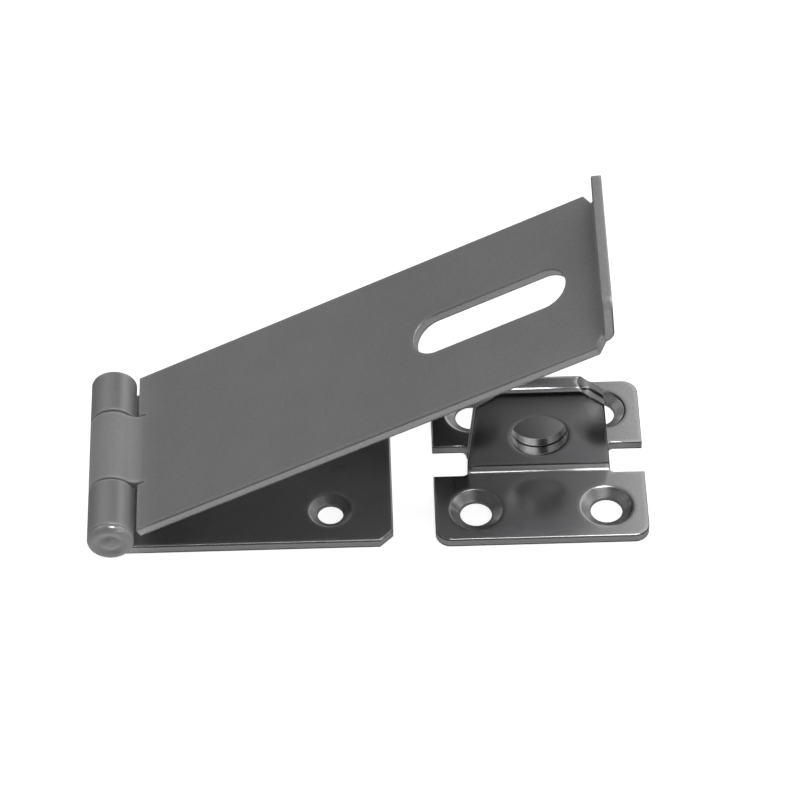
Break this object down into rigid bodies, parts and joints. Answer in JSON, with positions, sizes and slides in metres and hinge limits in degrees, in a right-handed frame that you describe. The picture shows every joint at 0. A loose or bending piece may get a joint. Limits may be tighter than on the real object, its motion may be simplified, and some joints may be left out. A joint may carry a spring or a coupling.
{
  "type": "hasp and staple",
  "caption": "Slotted steel hasp with a turned-up finger lip, hinged to a screw-on plate, that swings down over a folded sheet staple for a padlock.",
  "frame": {"origin": "on the mounting surface straight below the hinge pin's axis, at the middle of the hinge plate's width", "axes": "+X from the hinge along the closed strap to the staple, +Y along the hinge pin from its head to its tail, +Z out of the mounting surface"},
  "size_m": [0.1086, 0.0426, 0.0634],
  "materials": {
    "plated_plate": "satin zinc plate over steel sheet",
    "plated_strap": "satin zinc plate over steel sheet",
    "plated_pin": "bright zinc plate, domed by riveting",
    "plated_staple": "bright zinc plate over steel sheet"
  },
  "bodies": {
    "fixed_side": {"hinge_plate": "plated_plate", "hinge_pin": "plated_pin", "staple": "plated_staple"},
    "strap": {"hasp_strap": "plated_strap"}
  },
  "joints": [
    {"name": "strap_hinge", "type": "hinge", "parent": "fixed_side", "child": "strap", "pos_m": [0, 0, 0.0045], "axis": [0, -1, 0], "range_deg": [-28.6, 151.4]}
  ]
}
